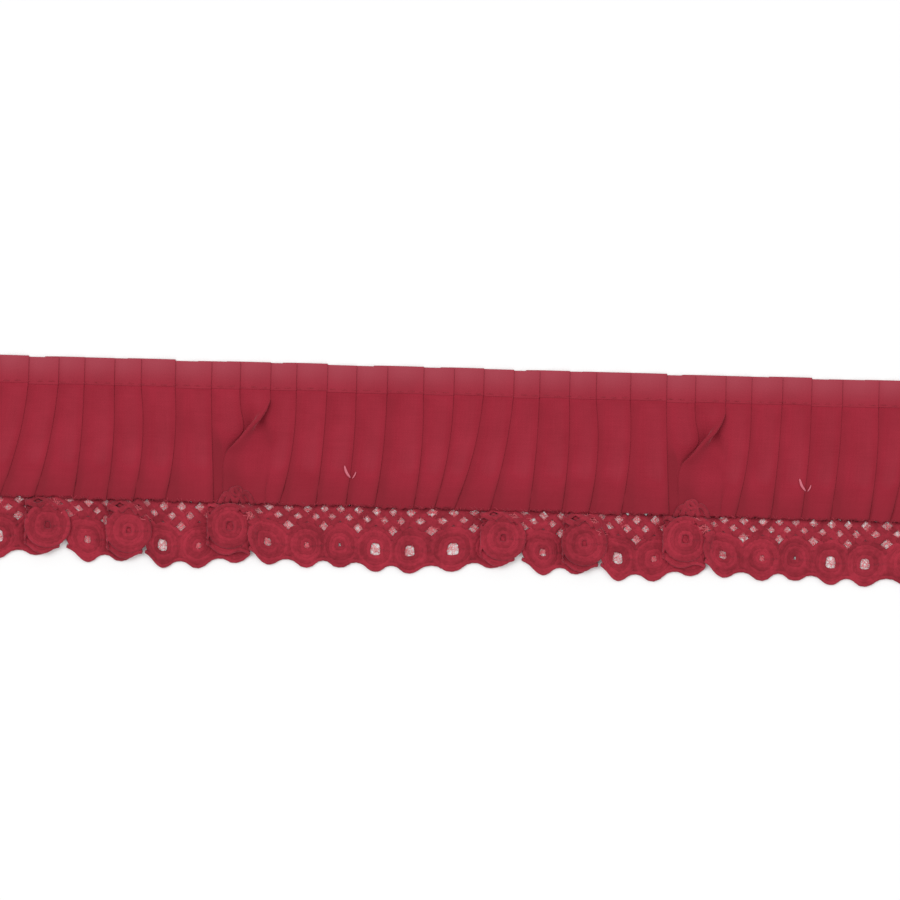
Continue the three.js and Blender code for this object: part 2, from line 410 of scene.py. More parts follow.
twisted_over = [
    (24.96, 61.6, 3.4, 1.0, 0.0, 0.08, 0.0),
    (18.7, 61.6, 3.4, 1.0, 0.0, 0.08, 0.0),
    (16.4, 61.6, 3.6, 1.0, 0.1, 0.20, 0.05),
    (13.6, 61.7, 3.0, 0.88, 0.3, 0.48, 0.1),
    (11.4, 61.7, 2.5, 0.42, 0.5, 0.70, 0.1),
    (9.6, 61.7, 2.6, -0.42, 0.7, 0.74, 0.2),
    (7.6, 61.7, 3.4, -0.86, 0.8, 0.64, 0.4),
    (5.4, 61.5, 4.7, -0.97, 0.8, 0.50, 0.35),
    (3.3, 61.3, 6.3, -1.0, 0.8, 0.42, 0.15),
    (0.4, 61.1, 6.8, -1.0, 0.8, 0.40, 0.05),
    (-8.4, 61.0, 6.6, -1.0, 0.9, 0.50, 0.05),
]

# How high the layers of a fold lie over the lowest one, from stitched flat at the heading to loose at the
# hem. Columns: y, height of the layer that turns back, height of the crease, radius of the crease

layering = [
    (24.96, 0.20, 0.29, 0.045),
    (18.2, 0.20, 0.29, 0.045),
    (16.2, 0.09, 0.18, 0.045),
    (12.5, 0.09, 0.18, 0.045),
    (7.0, 0.09, 0.18, 0.045),
    (1.5, 0.09, 0.19, 0.05),
    (-4.0, 0.10, 0.21, 0.055),
    (-8.4, 0.12, 0.27, 0.07),
]

cloth_thickness = 0.06
layer_gap = 0.02
full_depth = 2.8
least_depth = 1.2
panel_room = 1.6
tip_clearance = 0.3
tucked_under = 0.1
ridge_width = 1.0
crease_shift = -0.1
root_share = 0.5
turn_reach = 0.5
turn_overrun = 0.8
rise_room = 1.2
rise_at_foot = 0.92
least_plateau = 0.3
fin_root = 0.3
upright_root = 0.45
upright_foot = [(1.8, 0), (0.9, 0.04), (0.5, 0.3)]
left_leaning_room = 3.4
lace_room = 0.86
corner_samples = [2, 5, 3, 2, 2, 3, 3, 2, 1, 2, 2, 1]
corners_per_fold = len(corner_samples)
columns_per_fold = sum(corner_samples)
end_inset = 0.001


def floor_height(y):
    """Height of the ribbon's lowest layer, which lies on the table and then on the lace's foot."""
    return cloth_thickness / 2 + 0.02 + lace_room * below(y, -3.4, -6.2)


def crease_at(pleat, y):
    """A crease runs through its three places on a parabola."""
    heading, middle, hem = pleat
    s = max(0.0, (crease_top - y) / (crease_top - ribbon_hem))
    at_heading = (s - middle_share) * (s - 1) / middle_share
    at_middle = s * (s - 1) / (middle_share * (middle_share - 1))
    at_hem = s * (s - middle_share) / (1 - middle_share)
    return heading * at_heading + middle * at_middle + hem * at_hem


def fold_state(pleat, origin, y, start):
    """A fold at y. The sheet left of it starts its way up at start."""
    plain = {"lean": 1.0, "height": 1.0, "bridge": 0.0}
    if pleat == "runs_out":
        foot, depth, lean, height = table_at(running_out, y)
        return {**plain, "foot": origin + foot, "depth": depth, "lean": lean, "height": height}
    if pleat == "twisted":
        foot, depth, lean, bridge, radius, lift = table_at(twisted_over, y)
        return {
            **plain, "foot": origin + foot, "depth": depth, "lean": lean, "bridge": bridge,
            "radius": radius, "lift": lift,
        }
    tip = origin + crease_at(pleat, y) + crease_shift
    depth = min(full_depth, max(least_depth, tip - start - panel_room))
    return {**plain, "foot": tip - depth, "depth": depth}


def fold_corners(fold, start, start_height, y):
    """The corners of a fold's middle line, which a smooth curve then rounds off.

    They run up the left foot, over the fin and down the right foot.
    """
    back, top, radius = table_at(layering, y)
    radius = fold.get("radius", radius)
    lift = fold.get("lift", 0.0)
    back, top = back + lift, top + lift
    foot, depth, lean = fold["foot"], fold["depth"], fold["lean"]
    upward = math.sqrt(max(0.0, 1 - lean * lean))
    share = abs(lean)
    top_at_root = max(mix(back, top, root_share), back + cloth_thickness + layer_gap)
    half = (top_at_root - back) / 2
    along = np.array([lean, upward])
    side = np.array([-upward, lean])
    root = np.array([foot, mix(upright_root, back + half, share)])
    tip = root + along * (depth - radius) + np.array([0, share * (top - radius - back - half)])
    plateau = max(least_plateau, depth - 2 * radius - ridge_width) * share
    fin = [
        root + mix(fin_root, plateau, share) * along + half * side,
        tip - radius * along + radius * side,
        tip + radius * along + radius * side,
        tip + radius * along - radius * side,
        tip - radius * along - radius * side,
        root + fin_root * along - half * side,
    ]
    upright_left = [(foot - reach, height) for reach, height in upright_foot]
    upright_right = [(foot + reach, height) for reach, height in upright_foot[::-1]]
    if lean < 0:
        left = [(foot - turn_overrun, 0), (foot + turn_reach, 0), (foot + turn_reach, back)]
        bridge = fold["bridge"]
        right = [
            (foot + 1.0, top_at_root),
            (foot + 2.0, mix(top_at_root, bridge, 0.6)),
            (foot + 3.0, bridge),
        ]
    else:
        room = foot - rise_room - start
        left = [
            (start, start_height),
            (start + 0.5 * room, mix(start_height, top_at_root, 0.5)),
            (foot - rise_room, mix(start_height, top_at_root, rise_at_foot)),
        ]
        right = [(foot - turn_reach, back), (foot - turn_reach, 0), (foot + turn_overrun, 0)]
    left = mix(np.array(upright_left), np.array(left), share)
    right = mix(np.array(upright_right), np.array(right), share)
    corners = np.array([*left, *fin, *right])
    reach = upright_foot[0][0]
    flat = np.zeros((corners_per_fold, 2))
    flat[:, 0] = np.linspace(foot - reach, foot + reach, corners_per_fold)
    return mix(flat, corners, fold["height"])


def right_of(fold, y):
    """Where the sheet may start its way up to the next fold."""
    clearance = mix(-tucked_under, tip_clearance, float(ease(y, 12, 18)))
    right_leaning = fold["foot"] + fold["depth"] + clearance
    left_leaning = fold["foot"] + left_leaning_room
    share = float(ease(fold["lean"], -0.4, 0.6))
    return mix(left_leaning, right_leaning, share)


pleat_order = [(pleats[-1], repeat_start(-1))]
for repeat in range(repeats):
    pleat_order += [(pleat, repeat_start(repeat)) for pleat in pleats]
pleat_order.append((pleats[0], repeat_start(repeats)))
fold_count = len(pleat_order)


def row_corners(y):
    """The corners of the ribbon's cross section at y, with its two cut ends."""
    corners = [[(-half_length, 0)]]
    start, start_height = -half_length + tip_clearance, 0.0
    for pleat, origin in pleat_order:
        fold = fold_state(pleat, origin, y, start)
        corners.append(fold_corners(fold, start, start_height, y))
        start = right_of(fold, y)
        start_height = fold["bridge"]
    corners.append([(half_length, 0)])
    line = np.concatenate(corners)
    line[:, 1] += floor_height(y)
    return line


def corner_columns():
    """For each column of the ribbon: its corner and its place on the rounding there.

    The columns at the cut ends stand a hair inside them, where the line still has a direction.
    """
    corner, place = [0], [end_inset]
    for fold in range(fold_count):
        for k, count in enumerate(corner_samples):
            corner += [1 + fold * corners_per_fold + k] * count
            place += [(j + 0.5) / count for j in range(count)]
    corner.append(1 + fold_count * corners_per_fold)
    place.append(1 - end_inset)
    return np.array(corner), np.array(place)


column_corner, column_place = corner_columns()
column_count = len(column_corner)


def rounded(line):
    """Points and normals along a line of corners, each corner rounded off by a parabola."""
    before = np.concatenate([line[:1], line[:-1]])
    after = np.concatenate([line[1:], line[-1:]])
    a = ((before + line) / 2)[column_corner]
    b = line[column_corner]
    c = ((line + after) / 2)[column_corner]
    t = column_place[:, None]
    return parabola(a, b, c, t), left_normals((1 - t) * (b - a) + t * (c - b))


# Rows across the cloth: the turned-down front of the heading, the fold over its top edge, the face

hem_edge = 18.45
hem_overlap = 0.45
hem_offset = 0.066
front_rows = [hem_edge, 18.6, 19.1, 19.7, 20.9, 22.3, 23.6, 24.45]
fold_angles = np.radians([45, 90, 135])
face_rows = np.concatenate([
    np.linspace(24.45, 18.9, 5), np.linspace(18.2, 0.8, 19), np.linspace(-0.4, -4.0, 4),
    np.linspace(-4.6, ribbon_hem - hem_overlap, 9),
])


def cloth_rows():
    """For each row: y, offset along the normal, angle over the top edge, distance on the cloth."""
    radius = hem_offset / 2
    close = cloth_thickness + 0.005
    rows = [(y, mix(close, hem_offset, min(1, i / 2)), 0.0) for i, y in enumerate(front_rows)]
    rows += [
        (heading_edge - radius + radius * math.sin(a), radius * (1 + math.cos(a)), a)
        for a in fold_angles
    ]
    rows += [(y, 0.0, math.pi) for y in face_rows]
    distance = 0.0
    placed = []
    for i, (y, offset, angle) in enumerate(rows):
        if i:
            distance += math.hypot(y - rows[i - 1][0], offset - rows[i - 1][1])
        placed.append((y, offset, angle, distance))
    return placed


def panel_values(values):
    """A value for each column, held across each panel and changed in the hidden part of the fold."""
    knots, held = [], []
    for i in range(fold_count):
        first = 1 + i * columns_per_fold
        knots += [first, first + sum(corner_samples[:7])]
        held += [values[i], values[i]]
    return np.interp(np.arange(column_count), knots, held)


def by_corner(shares):
    """A value for each column, from one value for each corner of a fold."""
    knots, values = [], []
    for i in range(fold_count):
        column = 1 + i * columns_per_fold
        for share, count in zip(shares, corner_samples):
            knots.append(column + (count - 1) / 2)
            values.append(share)
            column += count
    return np.interp(np.arange(column_count), knots, values)


def marked_columns(kind, start, end):
    """1 on some columns of each pleat of one kind, counted from its first column, and 0 elsewhere."""
    values = np.zeros(column_count)
    for i, (pleat, _) in enumerate(pleat_order):
        if pleat == kind:
            first = 1 + i * columns_per_fold
            values[first + start: first + end] = 1
    return values


# How far each panel's edge stands up or down. Columns: size, turns, shift

fold_numbers = np.arange(fold_count)
heading_steps = panel_values(waves(fold_numbers, [(0.13, 2.39, 0), (0.09, 5.1, 1)]))
hem_steps = panel_values(waves(fold_numbers, [(0.22, 1.93, 2), (0.1, 4.3, 0)]))

# Share of each column that belongs to the visible top of a panel, where it leans right or left

top_leaning_right = by_corner([0.2, 1, 1, 1, 0.8, 0.3, 0, 0, 0, 0, 0, 0])
top_leaning_left = by_corner([0, 0, 0, 0, 0, 0, 0.3, 0.8, 1, 1, 1, 0.6])

# Painted highlight on the turned-down hem, lightest on the rise of each panel

heading_painted_highlight = by_corner([0.7, 1, 1, 0.6, 0.3, 0, 0, 0, 0, 0, 0, 0.2])


# Light and shade painted into the colour along the folds: a painted highlight on the edge of each pleat,
# painted shade in the recess beside it, and darker painted shade in the gap beside the pleat that runs out.

painted_rim_highlight = by_corner([0, 0, 0.6, 1, 0, 0, 0, 0, 0, 0, 0, 0])
painted_recess_shade = by_corner([1, 0.1, 0, 0, 0.5, 0.7, 0.9, 1, 1, 1, 1, 1])
twisted_columns = marked_columns("twisted", 0, columns_per_fold)
gap_columns = marked_columns("runs_out", -1, sum(corner_samples[:8]))

# Right of a twisted pleat the cloth lies open, once the pleat leans left

open_columns = marked_columns(
    "twisted", sum(corner_samples[:8]), columns_per_fold + sum(corner_samples[:2]),
)
hem_shade = 0.7
gap_shade = 0.9
hollow_shade = 0.7

# How strong the painted rim highlight and the painted recess shade are, just below the heading and at the
# hem

rim_highlight_strength = (0.08, 0.22)
recess_shade_strength = (0.42, 0.72)


def painted_fold_light(x, y):
    """How much painted highlight (above 0) or painted shade (below 0) the cloth of each column gets at y."""
    toward_hem = below(y, 14, -6)
    rim = mix(*rim_highlight_strength, toward_hem)
    recess = mix(*recess_shade_strength, toward_hem)
    covered = 1 - open_columns * below(y, 13.5, 9.0)
    gap = gap_shade * below(y, 9, 2)
    below_heading = float(ease(-y, -hem_edge, 1.5 - hem_edge))
    hollow = hollow_shade * hollow_depth(x, y)
    shade = recess * painted_recess_shade * covered + gap * gap_columns + hollow
    return below_heading * (rim * painted_rim_highlight - shade)


# Soft hollows that stand out in each repeat, sunk into the cloth and darkened with painted shade. Columns:
# x, y, half width, half height, turn, depth

hollows = [
    (60.6, 12.4, 1.2, 1.9, 0.0, 0.4),
    (64.6, 8.4, 1.3, 2.6, -0.35, 0.6),
]


def hollow_depth(x, y):
    depth = np.zeros_like(x)
    for repeat in range(-1, repeats + 1):
        for centre_x, centre_y, width, height, turn, deep in hollows:
            dx = x - (repeat_start(repeat) + centre_x)
            dy = y - centre_y
            across = (dx * math.cos(turn) - dy * math.sin(turn)) / width
            down = (dx * math.sin(turn) + dy * math.cos(turn)) / height
            depth += deep * np.exp(-across * across - down * down)
    return depth


gather_height = 0.06
pull_height = 0.08
slow_height = 0.012


def puckers(along, y):
    """Small gathers where the lace is sewn on, and slow waves all over the panels."""
    near_hem = below(y, -3.0, -6.2)
    gathers = np.sin(along * 2.35 + 0.8 * y) + 0.7 * np.sin(along * 3.7 - 1.1 * y + 1.3)
    pulls = np.sin(along * 0.83 + 1) * np.sin(along * 1.31 - 0.9 * y)
    slow = np.sin(along * 0.71 + 0.31 * y) + np.sin(along * 0.37 - 0.53 * y + 2)
    stitched = gather_height * (gathers + 1.7) + pull_height * (pulls + 1)
    return near_hem * stitched + slow_height * (slow + 2)


# How unevenly the hem runs between two stitches. Columns: size, turns, shift

hem_waves = [(0.15, 1.9, 0), (0.12, 3.3, 1), (0.09, 5.2, 2)]

# How far the heading takes the lighter tint, from its lower edge to its top: its own lighter tone, and a
# painted highlight that grows towards the top edge

heading_share = (0.16, 0.95)


def build_ribbon():
    """The cloth as one closed thin sheet."""
    rows = cloth_rows()
    half = cloth_thickness / 2
    lines = [rounded(row_corners(y)) for y, *_ in rows]
    along = running_total(np.mean([lengths_between(points) for points, _ in lines], axis=0))
    outer, inner, cloth = [], [], []
    for (y, offset, angle, across), (points, normals) in zip(rows, lines):
        lean_right = 1 - below(y, 11.5, 7.0) * twisted_columns
        visible = mix(top_leaning_left, top_leaning_right, lean_right)
        x = points[:, 0]
        sunk = visible * (hollow_depth(x, y) - puckers(along, y)) * below(y, 18.2, 15.5)
        px = x + normals[:, 0] * offset
        pz = points[:, 1] + normals[:, 1] * offset - sunk
        pz = np.maximum(pz, floor_height(y) + offset * normals[:, 1])
        py = y + heading_steps * float(ease(y, 8, 20)) + hem_steps * below(y, 0, -6)
        py = py + waves(along, hem_waves) * below(y, -5, -8)
        middle = path_of(px, py, pz)
        turned = normals * math.cos(angle)
        out = path_of(turned[:, 0], math.sin(angle), turned[:, 1])
        outer.append(middle + half * out)
        inner.append(middle - half * out)
        # The third value of the cloth attribute lightens or darkens the colour: the heading's own lighter
        # tone with a painted highlight towards its top edge and on the rise of each panel, darker towards
        # the hem, and on the face the painted highlight and shade along the folds
        toward_top = float(ease(y, hem_edge, heading_edge))
        tint = mix(*heading_share, toward_top) if angle < math.pi else 0.0
        layer = tint * (0.62 + 0.5 * heading_painted_highlight) - hem_shade * below(y, 1.5, -7.5)
        # On the face: the painted highlight and shade along the folds
        if angle == math.pi:
            layer = layer + painted_fold_light(x, y)
        cloth.append(path_of(along, across, layer))
    points, quads = closed_sheet(np.array(outer), np.array(inner))
    cloth = np.array(cloth).reshape(-1, 3)
    attributes = [("cloth", np.concatenate([cloth, cloth]))]
    piece = mesh_object("ribbon_cloth", points, quads, cloth_look, attributes)
    return piece, along[-1], rows[-1][3]


def closed_sheet(outer, inner):
    """Points and faces of a thin closed sheet between two grids of points."""
    rows, columns = outer.shape[:2]
    points = np.concatenate([outer.reshape(-1, 3), inner.reshape(-1, 3)])
    grid = np.arange(rows * columns).reshape(rows, columns)
    other = grid + rows * columns
    a, b, c, d = grid[:-1, :-1], grid[:-1, 1:], grid[1:, 1:], grid[1:, :-1]
    faces = [np.stack([a, b, c, d], -1).reshape(-1, 4)]
    a, b, c, d = other[:-1, :-1], other[1:, :-1], other[1:, 1:], other[:-1, 1:]
    faces.append(np.stack([a, b, c, d], -1).reshape(-1, 4))
    rim = np.concatenate([grid[0, :-1], grid[:-1, -1], grid[-1, :0:-1], grid[:0:-1, 0]])
    rim_other = rim + rows * columns
    faces.append(np.stack([rim, rim_other, np.roll(rim_other, -1), np.roll(rim, -1)], -1))
    return points, np.concatenate(faces)


ribbon, ribbon_flat_length, ribbon_flat_width = build_ribbon()
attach(ribbon, "root")
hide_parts("pleated_ribbon")


class Surface:
    """The upper side of a piece, felt for straight from above."""

    def __init__(self, piece):
        points = [vertex.co.copy() for vertex in piece.data.vertices]
        faces = [list(face.vertices) for face in piece.data.polygons]
        self.tree = BVHTree.FromPolygons(points, faces)

    def height(self, x, y):
        above = Vector((x, y, 10)) * METRES
        hit = self.tree.ray_cast(above, Vector((0, 0, -1)))[0]
        return hit.z / METRES if hit else floor_height(y)

    def heights(self, xs, ys):
        return np.array([self.height(x, y) for x, y in zip(xs, ys)])


ribbon_top = Surface(ribbon)


# The lace. Its motifs are placed by their centres, measured from the start of a repeat. Each tuck folds
# the lace back to its crease and over to the right again, which hides one motif and lifts the next one.
# "hole" is the size of a motif's hole, 1 where it is fully open.

motif_pitch = 8.7
half_pitch = motif_pitch / 2
quarter_pitch = motif_pitch / 4
least_spacing = 4
lace_middle = 0.42
lace_layer = 0.85
lace_foot_line = -6.9
spare_length = 16
motifs = [
    {"x": 0.75, "y": -18.45, "hole": 1.0},
    {"x": 10.3, "y": -17.3, "hole": 0.5},
    {"x": 12.7, "y": -15.4, "hole": 0.62, "crease": 7.4, "foot": 14.9},
    {"x": 22.3, "y": -18.7, "hole": 0.62},
    {"x": 30.5, "y": -18.2, "hole": 0.5},
    {"x": 32.2, "y": -16.1, "hole": 0.55, "crease": 27.1, "foot": 34.9},
    {"x": 40.3, "y": -19.56, "hole": 0.95},
    {"x": 49.0, "y": -19.4, "hole": 0.5},
    {"x": 58.3, "y": -17.8, "hole": 0.5},
    {"x": 56.4, "y": -14.4, "hole": 0.75, "crease": 51.1, "foot": 60.7},
    {"x": 65.5, "y": -18.0, "hole": 0.66},
    {"x": 74.9, "y": -18.5, "hole": 0.5},
    {"x": 82.8, "y": -18.2, "hole": 0.3},
    {"x": 91.4, "y": -19.0, "hole": 1.0},
    {"x": 99.6, "y": -19.2, "hole": 0.9},
]
hidden_motif = {"hole": 0.3, "layer": "hidden"}
hidden_from_crease = 3.4
hidden_below_raised = 1.5
beyond_ends_y = {"left": -18.7, "right": -18.3}
motif_reach = 5.4

# The corners of a tuck, measured from its foot or its crease. Columns: from, x, height

tuck_corners = [
    ("foot", -0.8, 0), ("foot", 0.5, 0), ("foot", 0.5, lace_layer), ("foot", -0.8, lace_layer),
    ("crease", 1.0, lace_layer), ("crease", 0, lace_layer),
    ("crease", 0, 2 * lace_layer), ("crease", 1.0, 2 * lace_layer),
    ("foot", 0.4, 2 * lace_layer), ("foot", 1.6, 0.9), ("foot", 2.6, 0.1), ("foot", 4.2, 0),
]


def lace_course():
    """The lace's middle line with its tucks, and the motifs' places on it."""
    corners = [(-half_length - spare_length, 0.0), (-half_length, 0.0)]
    placed = []
    for repeat in range(repeats + 1):
        origin = repeat_start(repeat)
        for motif in motifs:
            x = origin + motif["x"]
            if x > half_length + half_pitch:
                continue
            layer = "floor"
            if "foot" in motif:
                if origin + motif["foot"] + motif_reach > half_length:
                    continue
                layer = "raised"
                corners += [(origin + motif[base] + dx, height) for base, dx, height in tuck_corners]
                placed.append({
                    **hidden_motif, "x": origin + motif["crease"] + hidden_from_crease,
                    "y": motif["y"] - hidden_below_raised,
                })
            placed.append({"x": x, "y": motif["y"], "hole": motif["hole"], "layer": layer})
    corners += [(half_length, 0.0), (half_length + spare_length, 0.0)]
    return np.array(corners, float), placed


def sampled_course(corners, step=0.12):
    """The course as close points with normals, by distance along it."""
    points = [corners[0]]
    for i in range(1, len(corners) - 1):
        a, b, c = (corners[i - 1] + corners[i]) / 2, corners[i], (corners[i] + corners[i + 1]) / 2
        count = max(2, math.ceil((np.linalg.norm(b - a) + np.linalg.norm(c - b)) / step))
        t = ((np.arange(count) + 0.5) / count)[:, None]
        points += list(parabola(a, b, c, t))
    points.append(corners[-1])
    points = np.array(points)
    along = running_total(lengths_between(points))
    return along, points, left_normals(np.gradient(points, along, axis=0))


course_corners, placed_motifs = lace_course()
course_along, course_points, course_normals = sampled_course(course_corners)


def along_of(motif, after):
    """Distance along the lace of a visible motif's centre, past that of the last one."""
    x = course_points[:, 0]
    crossing = (x[:-1] <= motif["x"]) & (x[1:] > motif["x"]) & (course_along[1:] > after)
    i = int(np.argmax(crossing))
    share = (motif["x"] - x[i]) / (x[i + 1] - x[i])
    return mix(course_along[i], course_along[i + 1], share)


def place_motifs():
    """Distance along the lace of each motif, with one more beyond each cut end."""
    rows = [dict(motif) for motif in placed_motifs]
    last = -1.0
    for row in rows:
        if row["layer"] != "hidden":
            last = row["along"] = along_of(row, last + least_spacing)
    for before, row, after in zip(rows, rows[1:], rows[2:]):
        if row["layer"] == "hidden":
            row["along"] = (before["along"] + after["along"]) / 2
    first, final = rows[0], rows[-1]
    before = {**first, "along": first["along"] - motif_pitch, "y": beyond_ends_y["left"]}
    after = {**final, "along": final["along"] + motif_pitch, "y": beyond_ends_y["right"]}
    return [before, *rows, after]


motif_rows = place_motifs()
design_knots = np.arange(len(motif_rows)) * motif_pitch
row_along = np.array([row["along"] for row in motif_rows])
row_y = np.array([row["y"] for row in motif_rows])
raised_knots = [i for i, row in enumerate(motif_rows) if row["layer"] == "raised"]


# Cords of the lace, worked flat. Their x is the design's distance along the lace, y is up from the line of
# the motifs' centres, and z is up from the middle of the lace.

class Cords:
    """Collects tubes with an oval section into one mesh."""

    def __init__(self):
        self.points, self.quads, self.yarn = [], [], []
        self.count = 0

    def add(self, path, half_width, half_height, lay=None, sides=8, closed=False, seed=0.5):
        path = np.asarray(path, float)
        n = len(path)
        if closed:
            ahead, behind = np.roll(path, -1, axis=0), np.roll(path, 1, axis=0)
        else:
            ahead, behind = np.concatenate([path[1:], path[-1:]]), np.concatenate([path[:1], path[:-1]])
        side = np.pad(left_normals((ahead - behind)[:, :2]), ((0, 0), (0, 1)))
        up = np.array([0, 0, 1.0])
        width = np.broadcast_to(half_width, n)[:, None, None]
        height = np.broadcast_to(half_height, n)[:, None, None]
        angle = 2 * math.pi * np.arange(sides) / sides
        ring = width * np.cos(angle)[None, :, None] * side[:, None]
        ring = ring + height * np.sin(angle)[None, :, None] * up
        points = (path[:, None] + ring).reshape(-1, 3)
        along = running_total(lengths_between(path))
        around = angle * float(np.mean(half_width))
        yarn = path_of(along[:, None], around[None, :], seed).reshape(-1, 3)
        grid = np.arange(n * sides).reshape(n, sides)
        if closed:
            grid = np.concatenate([grid, grid[:1]])
        right = np.roll(grid, -1, axis=1)
        quads = np.stack([grid[:-1], right[:-1], right[1:], grid[1:]], -1).reshape(-1, 4)
        if not closed:
            points = np.concatenate([points, path[:1], path[-1:]])
            yarn = np.concatenate([yarn, yarn[:1], yarn[-1:]])
            first, last = n * sides, n * sides + 1
            caps = []
            for k in range(0, sides, 2):
                a, b, c = k, (k + 1) % sides, (k + 2) % sides
                caps.append([first, grid[0, c], grid[0, b], grid[0, a]])
                caps.append([last, grid[-1, a], grid[-1, b], grid[-1, c]])
            quads = np.concatenate([quads, np.array(caps)])
        self.points.append(lay(points) if lay else points)
        self.quads.append(quads + self.count)
        self.yarn.append(yarn)
        self.count += len(points)

    def joined(self):
        return np.concatenate(self.points), np.concatenate(self.quads), np.concatenate(self.yarn)


disc_top = 4.9
net_foot = 11.6
net_squash = {"from": -10.6, "to": -8.6, "share": 0.34}
disc_tilt = {"left": 2.15, "right": 1.35}


def flattened(y, z):
    """Under the ribbon's hem the layers of the lace lie pressed together."""
    share = mix(1.0, net_squash["share"], ease(y, net_squash["from"], net_squash["to"]))
    return z * share


def laid_on_course(points):
    """Cords worked flat, laid along the lace's folds and tucks."""
    design, up, over = points.T
    along = curve_through(design_knots, row_along, design)
    along = along + np.minimum(design - design_knots[0], 0) + np.maximum(design - design_knots[-1], 0)
    centre = np.interp(design, design_knots, row_y)
    net = np.maximum(up - disc_top, 0)
    stretch = (lace_foot_line - centre - disc_top) / (net_foot - disc_top)
    y = centre + np.minimum(up, disc_top) + net * stretch
    x, z = (np.interp(along, course_along, course_points[:, k]) for k in (0, 1))
    nx, nz = (np.interp(along, course_along, course_normals[:, k]) for k in (0, 1))
    return path_of(x + nx * over, y, flattened(y, z + lace_middle + nz * over))


def laid_as_disc(knot):
    """A raised motif keeps its round shape and tilts down to the right over the next one."""
    row = motif_rows[knot]

    def lay(points):
        design, up, over = points.T
        across = design - design_knots[knot]
        height = mix(disc_tilt["left"], disc_tilt["right"], (across / motif_reach + 1) / 2)
        return path_of(row["x"] + across, row["y"] + up, height + over)

    return lay


net_rows = {"upper": 8.7, "lower": 6.75}
net_start = 10.65
net_end = 4.85
foot_cord = {"y": 10.75, "half_width": 0.5, "half_height": 0.25}
net_bar = {"top": 0.6, "bottom": 0.92, "half_height": 0.28}
knot_reach = 1.02
hole_half = {"width": 1.3, "height": 1.55}
outer_reach = 4.91
ring_spacing = 0.8
ring_width = 0.6
ring_height = 0.29
ring_segment = 0.46
hole_margin = 0.45
crochet_pitch = 1.3
seam_height = 0.25
border_cord = {"half_width": 0.48, "half_height": 0.34}
knot_half = {"height": 0.88, "thickness": 0.36}

# The seam between two motifs. Columns: y, half width

seam = [(2.3, 0.35), (1.6, 0.6), (0.7, 0.4), (-0.3, 0.3), (-1.3, 0.45), (-2.2, 0.8), (-3.0, 0.7)]

# The wavy outer border. Columns: distance from a motif's middle, y

border_wave = [(0, -4.98), (1.0, -4.80), (2.0, -4.15), (3.0, -3.55), (4.35, -3.28)]


def ring_radii(hole):
    """Half width and half height of each ring's middle line, from the hole outward."""
    inner_x = hole_half["width"] * hole + hole_margin
    inner_y = hole_half["height"] * hole + hole_margin
    count = 1 + round((outer_reach - inner_x) / ring_spacing)
    share = np.linspace(0, 1, count)
    return mix(inner_x, outer_reach, share), mix(inner_y, outer_reach, share), share


def ring_path(centre, reach_x, reach_y, share, start=0.0, end=2 * math.pi):
    """A ring of a motif. The inmost follows the squarish hole and the outmost is round."""
    whole = abs(end - start) > 2 * math.pi - 1e-6
    count = max(12, round((end - start) * reach_x / ring_segment))
    angle = np.linspace(start, end, count, endpoint=not whole)
    power = mix(3.0, 2.0, share ** 0.5)
    c, s = np.cos(angle), np.sin(angle)
    radius = (np.abs(c / reach_x) ** power + np.abs(s / reach_y) ** power) ** (-1 / power)
    x = radius * c * (1 - 0.12 * (1 - share) * s)
    return path_of(centre + x, radius * s, 0.03 * np.sin(angle * 5 + 9 * share))


def crochet_lumps(path, phase):
    """The swelling of a cord at each of its stitches."""
    along = running_total(lengths_between(path))
    stitches = max(1, round(along[-1] / crochet_pitch))
    turn = 2 * math.pi * stitches * along / along[-1] + phase
    return np.sin(turn) * (0.75 + 0.25 * np.sin(along * 0.9 + phase))


def add_ring(cords, path, lay, closed, seed):
    lumps = crochet_lumps(path, 7 * seed)
    width = ring_width * (1 + 0.08 * lumps)
    height = ring_height * (1 + 0.22 * lumps)
    cords.add(path, width, height, lay=lay, closed=closed, seed=seed)


def add_motif(cords, knot, row):
    centre = design_knots[knot]
    raised = row["layer"] == "raised"
    lay = laid_as_disc(knot) if raised else laid_on_course
    for ring, (reach_x, reach_y, share) in enumerate(zip(*ring_radii(row["hole"]))):
        seed = 0.5 + 0.5 * math.sin(knot * 2.7 + ring * 1.9)
        if share < 1 or raised:
            add_ring(cords, ring_path(centre, reach_x, reach_y, share), lay, True, seed)
            continue
        cut = math.acos(half_pitch / reach_x)
        add_ring(cords, ring_path(centre, reach_x, reach_y, share, cut, math.pi - cut), lay, False, seed)
    if knot + 1 < len(motif_rows) and not raised and motif_rows[knot + 1]["layer"] != "raised":
        seam_y, half_widths = np.array(seam).T
        path = path_of(centre + half_pitch, seam_y)
        cords.add(path, half_widths, seam_height, lay=laid_on_course, seed=0.4)


def border_path(start, end):
    """The wavy outer border between two places on the design."""
    x = np.arange(start, end, 0.4)
    aside = np.abs((x + half_pitch) % motif_pitch - half_pitch)
    return path_of(x, curve_through(*zip(*border_wave), aside), 0.04 * np.sin(x * 1.7))


def add_borders(cords):
    breaks = [design_knots[0] - half_pitch]
    for knot in raised_knots:
        breaks += [design_knots[knot] - half_pitch, design_knots[knot] + half_pitch]
    breaks.append(design_knots[-1] + half_pitch)
    for start, end in zip(breaks[::2], breaks[1::2]):
        path = border_path(start, end)
        lumps = crochet_lumps(path, 1.0)
        width = border_cord["half_width"] * (1 + 0.08 * lumps)
        height = border_cord["half_height"] * (1 + 0.15 * lumps)
        cords.add(path, width, height, lay=laid_on_course, seed=0.8)


